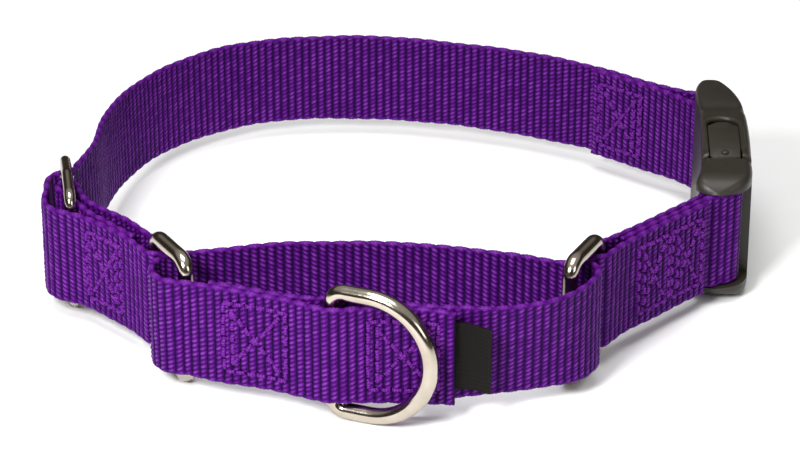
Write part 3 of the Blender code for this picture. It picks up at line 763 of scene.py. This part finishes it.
def tag(look):
    """A blank woven tape folded in half, its two ends under the loop's outer layer."""
    line = Strap([(11.4, -63.7), (14.4, -64.0), (17.8, -65.2), (21.2, -67.2)], True)
    reach = line.s[-1] - TAG_HALF
    out = [(s, -TAG_HALF) for s in np.linspace(0, reach, 36)]
    out += [(reach + TAG_HALF * math.cos(a), TAG_HALF * math.sin(a)) for a in np.linspace(-1.2, 1.2, 5)]
    out += [(s, TAG_HALF) for s in np.linspace(reach, 0, 36)]
    out = np.array(out)
    s, n = out[:, :1], out[:, 1:]
    t = np.linspace(TAG_LOW, TAG_HIGH, 64) - MID_Z
    ripple = 0.09 * np.sin(s * 0.9 + t * 0.35) + 0.03 * np.cos(t * 5.2)
    verts = line.at(s, t + 0.05 * np.sin(s * 4.0), n + ripple)
    shape = ripple.shape
    run = np.concatenate([[0], np.cumsum(np.hypot(*np.diff(out, axis=0).T))])
    uv = np.stack([np.broadcast_to(run[:, None], shape), np.broadcast_to(t, shape)], -1)
    made = mesh_object("woven_tag", verts.reshape(-1, 3), grid(*shape, False), look,
                       uv.reshape(-1, 2) * TEXTURE_SCALE)
    return made, (TAG_HIGH - TAG_LOW) * MM, run[-1] * MM


# ---------------------------------------------------------------- materials

GLINT = (0.86, 0.66, 1.0, 1)   # the tint of the shine on nylon


class Look:
    """A node material, with short ways to add and join nodes."""

    def __init__(self, name, **sockets):
        self.material = bpy.data.materials.new(name)
        self.material.use_nodes = True
        self.nodes = self.material.node_tree.nodes
        self.links = self.material.node_tree.links
        self.shader = self.nodes["Principled BSDF"]
        for key, value in sockets.items():
            self.shader.inputs[key.replace("_", " ")].default_value = value

    def add(self, kind, inputs=None, **settings):
        node = self.nodes.new(kind)
        for key, value in settings.items():
            setattr(node, key, value)
        for key, value in (inputs or {}).items():
            if isinstance(value, bpy.types.NodeSocket):
                self.links.new(value, node.inputs[key])
            else:
                node.inputs[key].default_value = value
        return node

    def ramp(self, source, stops):
        """Colours by (position, colour)."""
        node = self.add("ShaderNodeValToRGB", {"Fac": source})
        elements = node.color_ramp.elements
        while len(elements) < len(stops):
            elements.new(0.5)
        for element, (at, colour) in zip(elements, stops):
            element.position = at
            element.color = (*colour, 1)
        return node.outputs["Color"]

    def span(self, source, low, high, frm=0.0, to=1.0):
        """A value between frm and to, turned into one between low and high."""
        inputs = {"Value": source, "From Min": frm, "From Max": to, "To Min": low, "To Max": high}
        return self.add("ShaderNodeMapRange", inputs).outputs["Result"]

    def noise(self, vector, scale, detail=3.0):
        inputs = {"Vector": vector, "Scale": scale, "Detail": detail, "Roughness": 0.55}
        return self.add("ShaderNodeTexNoise", inputs).outputs["Fac"]

    def calc(self, operation, *values):
        return self.add("ShaderNodeMath", dict(enumerate(values)), operation=operation).outputs[0]

    def where(self):
        return self.add("ShaderNodeTexCoord").outputs["Object"]

    def set(self, key, source):
        self.links.new(source, self.shader.inputs[key])

    def bump(self, source, strength, distance):
        inputs = {"Height": source, "Strength": strength, "Distance": distance}
        node = self.add("ShaderNodeBump", inputs)
        self.set("Normal", node.outputs["Normal"])


def nylon():
    """Glossy crowns over matt grooves, with the filaments of the yarns as bump; the colour has painted shade
    in the grooves and a painted highlight on the crowns.
    """
    look = Look("purple_nylon_webbing", Sheen_Weight=0.02, Sheen_Roughness=0.35, Specular_IOR_Level=0.10,
                Sheen_Tint=(0.72, 0.30, 0.95, 1), Specular_Tint=GLINT)
    crown = look.add("ShaderNodeAttribute", attribute_name="crown").outputs["Fac"]
    where = look.where()
    fine = look.noise(where, 2600.0, 2.0)
    broad = look.noise(where, 55.0)
    total = look.calc("ADD", crown, look.span(fine, -0.12, 0.12))
    total = look.calc("ADD", total, look.span(broad, -0.05, 0.05))
    # Painted shade and highlight: the colour darkens with the crown value into the grooves and needle holes,
    # and its brightest stop lights the highest crowns.
    look.set("Base Color", look.ramp(total, [
        (0.06, (0.0040, 0.0001, 0.015)), (0.36, (0.023, 0.0004, 0.064)),
        (0.70, (0.066, 0.0024, 0.138)), (1.0, (0.160, 0.030, 0.270)),
    ]))
    matt = look.span(total, 0.70, 0.22, 0.45, 1.0)
    look.set("Roughness", look.calc("ADD", matt, look.span(fine, -0.05, 0.09)))
    stretched = look.add("ShaderNodeMapping", {"Vector": where, "Scale": (1.0, 1.0, 0.35)}).outputs["Vector"]
    look.bump(look.noise(stretched, 5200.0, 2.0), 0.35, 0.00012)
    return look.material


def sewing_thread():
    """Two twisted plies, with painted shade where they meet."""
    look = Look("purple_thread", Specular_IOR_Level=0.10, Specular_Tint=GLINT)
    ply = look.add("ShaderNodeAttribute", attribute_name="ply").outputs["Fac"]
    wave = look.calc("SINE", look.calc("MULTIPLY", ply, math.pi))
    # Painted shade: the colour darkens in the crease where the two plies meet.
    shade = look.span(wave, 0.62, 1.0, -1.0, 1.0)
    fuzz = look.noise(look.where(), 3000.0, 2.0)
    look.set("Base Color", look.ramp(look.calc("MULTIPLY", shade, look.span(fuzz, 0.7, 1.2)), [
        (0.15, (0.020, 0.0006, 0.055)), (0.6, (0.066, 0.004, 0.140)), (1.0, (0.150, 0.020, 0.260)),
    ]))
    look.set("Roughness", look.span(fuzz, 0.34, 0.50))
    look.bump(wave, 0.14, 0.0001)
    return look.material


def nickel():
    """Bright plating, unevenly hazed by handling."""
    look = Look("polished_nickel", Metallic=1.0)
    where = look.where()
    broad = look.noise(where, 160.0, 4.0)
    fine = look.noise(where, 1500.0, 2.0)
    look.set("Base Color", look.ramp(broad, [(0.3, (0.40, 0.35, 0.285)), (0.75, (0.50, 0.45, 0.38))]))
    look.set("Roughness", look.calc("ADD", look.span(broad, 0.08, 0.20), look.span(fine, -0.03, 0.05)))
    look.bump(fine, 0.06, 0.00005)
    return look.material


def acetal():
    """Warm black plastic, with a fine grain, flow marks and edges rubbed paler."""
    look = Look("black_acetal", Specular_IOR_Level=0.33)
    where = look.where()
    grain = look.noise(where, 2400.0, 3.0)
    flow = look.noise(where, 120.0, 4.0)
    worn = look.add("ShaderNodeNewGeometry").outputs["Pointiness"]
    edge = look.span(worn, 0.0, 0.35, 0.51, 0.60)
    shade = look.calc("ADD", look.span(flow, 0.25, 0.6), edge)
    look.set("Base Color", look.ramp(shade, [(0.2, (0.013, 0.0108, 0.0078)), (0.9, (0.034, 0.029, 0.022))]))
    look.set("Roughness", look.span(flow, 0.34, 0.50, 0.25, 0.75))
    look.bump(grain, 0.16, 0.0001)
    return look.material


def tag_cloth():
    """A fine plain weave."""
    look = Look("black_woven_tag", Sheen_Weight=0.02, Specular_IOR_Level=0.12)
    uv = look.add("ShaderNodeUVMap", uv_map="weave").outputs["UV"]
    warp, weft = (
        look.add("ShaderNodeTexWave", {"Vector": uv, "Scale": scale, "Distortion": 0.4},
                 bands_direction=axis).outputs["Fac"]
        for axis, scale in (("X", 75.0), ("Y", 55.0))
    )
    both = look.calc("MULTIPLY", warp, weft)
    look.set("Base Color", look.ramp(both, [(0.0, (0.002, 0.0017, 0.0013)), (1.0, (0.009, 0.0077, 0.006))]))
    look.set("Roughness", look.span(both, 0.72, 0.55))
    look.bump(both, 0.4, 0.00012)
    return look.material


def floor_paint():
    look = Look("pale_floor", Roughness=0.8)
    patches = look.noise(look.where(), 30.0)
    look.set("Base Color", look.ramp(patches, [(0.3, (0.90, 0.90, 0.90)), (0.7, (0.93, 0.93, 0.93))]))
    return look.material


# ---------------------------------------------------------------- the collar

NYLON, SEWN, NICKEL, ACETAL, CLOTH = nylon(), sewing_thread(), nickel(), acetal(), tag_cloth()

neck = Strap(neck_points())
loop = Strap(loop_points(), True)
tab = Strap(tab_points())

SEAMS = [
    # name, strap, body, ends on the outer layer, ends on the inner layer, length
    ("socket_fold", neck, "neck_band",
     ((66.0, 70.4), (56.0, 78.4)), ((64.8, 68.8), (55.0, 76.9)), 14.0),
    ("slide_fold", neck, "neck_band",
     (on_stack(24, 1.9), on_stack(10, 1.8)), (on_stack(24, 0), on_stack(10, 0)), 13.0),
    ("loop_left", loop, "martingale_loop",
     ((-42.5, -53.4), (-26.5, -59.4)), ((-42.0, -51.4), (-26.0, -57.2)), 16.0),
    ("loop_right", loop, "martingale_loop",
     ((-8.5, -63.4), (9.0, -64.5)), ((-7.5, -61.0), (9.0, -62.3)), 16.5),
    ("tab_ring", tab, "plug_end",
     (on_tab(12, 1.9), on_tab(24.4, 1.8)), (on_tab(12, -1.9), on_tab(24.4, -1.8)), 11.4),
    ("tab_plug", tab, "plug_end",
     (on_tab(25, 1.8), on_tab(37, 1.9)), (on_tab(25, -1.8), on_tab(37, -1.9)), 11.4),
]

sewn = {id(neck): [], id(loop): [], id(tab): []}
for number, (name, strap, body, outer, inner, length) in enumerate(SEAMS):
    for side_name, ends, other in (("face", outer, inner), ("back", inner, outer)):
        start, end = sorted(strap.near(p) for p in ends)
        middle = (start + end) / 2
        index = np.argmin(np.abs(strap.s - middle))
        away = Vector(ends[0]) - Vector(other[0])
        side = 1 if np.dot(strap.normal[index], tuple(away)) > 0 else -1
        runs = stitches(start, length, number + 0.5)
        sewn[id(strap)].append((runs, side))
        made = sewing(f"stitches_{name}_{side_name}", strap, runs, side, SEWN)
        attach(made, body)
        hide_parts(f"seam_{name}_{side_name}")

for name, node, strap, body in (
    ("neck_webbing", "neck_strap", neck, "neck_band"),
    ("loop_webbing", "loop_strap", loop, "martingale_loop"),
    ("tab_webbing", "tab_strap", tab, "plug_end"),
):
    made = webbing(name, strap, NYLON, sewn[id(strap)])
    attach(made, body)
    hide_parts(node)

made, tag_width, tag_length = tag(CLOTH)
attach(made, "martingale_loop")
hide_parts("label")

for made, body, node in (
    (loop_ring("left_wire_ring", LEFT_FOLD, LEFT_LOOP, NICKEL), "left_ring", "left_loop_ring"),
    (loop_ring("right_wire_ring", RIGHT_FOLD, RIGHT_LOOP, NICKEL), "right_ring", "right_loop_ring"),
    (d_ring(NICKEL), "leash_ring", "d_ring"),
):
    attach(made, body)
    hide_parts(node)

glide, glide_bar = slide_adjuster(NICKEL)
for made in (glide, glide_bar):
    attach(made, "neck_band")
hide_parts("slide_adjuster")

shell = socket(ACETAL)
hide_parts("buckle_socket")
for made in (shell, *window_rims(ACETAL)):
    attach(made, "neck_band")

for made, body, node in (
    (plug(ACETAL), "plug_end", "buckle_plug"),
    (arm("arm_top", 1, ACETAL), "top_arm", "buckle_arm_top"),
    (arm("arm_bottom", -1, ACETAL), "bottom_arm", "buckle_arm_bottom"),
):
    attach(made, body)
    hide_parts(node)


# ---------------------------------------------------------------- studio

FLOOR_HALF = 2.5
FLOOR_Z = -0.0002
ground = mesh_object("floor", [(x * FLOOR_HALF, y * FLOOR_HALF, FLOOR_Z)
                               for x, y in ((-1, -1), (1, -1), (1, 1), (-1, 1))],
                     [(0, 1, 2, 3)], floor_paint())

# The point of the frame above the plan's own origin, halfway up the collar
TARGET = Vector((-FOOTPRINT_CENTRE.x, -FOOTPRINT_CENTRE.y, MID_Z)) * MM


def lamp(name, at, power, size):
    """A soft square light, aimed at the collar."""
    light = bpy.data.lights.new(name, "AREA")
    light.energy = power
    light.size = size
    made = bpy.data.objects.new(name, light)
    made.location = at
    made.rotation_euler = (TARGET - Vector(at)).to_track_quat("-Z", "Y").to_euler()
    bpy.context.scene.collection.objects.link(made)


lamp("key", (-0.18, -0.38, 0.31), 3.1, 0.13)
lamp("fill", (0.62, -0.70, 0.42), 1.4, 0.35)
lamp("top", (-0.1, -0.30, 2.0), 27.0, 1.2)

# The room: a bright ceiling above a dark band, so that the metal has something to reflect
world = bpy.data.worlds.new("studio")
world.use_nodes = True
nodes, links = world.node_tree.nodes, world.node_tree.links
height = nodes.new("ShaderNodeSeparateXYZ")
links.new(nodes.new("ShaderNodeTexCoord").outputs["Generated"], height.inputs["Vector"])
room = nodes.new("ShaderNodeValToRGB")
links.new(height.outputs["Z"], room.inputs["Fac"])
ROOM = [  # height of the direction looked in, from 0 at the horizon to 1 straight up, and colour
    (0.0, (0.16, 0.13, 0.10)), (0.30, (0.07, 0.055, 0.045)), (0.48, (0.10, 0.085, 0.07)),
    (0.62, (0.70, 0.68, 0.66)), (1.0, (1.0, 1.0, 1.0)),
]
while len(room.color_ramp.elements) < len(ROOM):
    room.color_ramp.elements.new(0.5)
for element, (at, colour) in zip(room.color_ramp.elements, ROOM):
    element.position = at
    element.color = (*colour, 1)
links.new(room.outputs["Color"], nodes["Background"].inputs["Color"])
nodes["Background"].inputs["Strength"].default_value = 0.55
bpy.context.scene.world = world
bpy.context.scene.view_settings.view_transform = "Standard"

ELEVATION = math.radians(26.0)
DISTANCE = 0.761
FOCAL_LENGTH = 135.81   # millimetres, on a sensor 36 mm wide
camera_data = bpy.data.cameras.new("camera")
camera_data.sensor_width = 36.0
camera_data.lens = FOCAL_LENGTH
camera = bpy.data.objects.new("camera", camera_data)
camera.location = TARGET + Vector((0, -math.cos(ELEVATION), math.sin(ELEVATION))) * DISTANCE
camera.rotation_euler = (math.pi / 2 - ELEVATION, 0, 0)
bpy.context.scene.collection.objects.link(camera)
bpy.context.scene.camera = camera
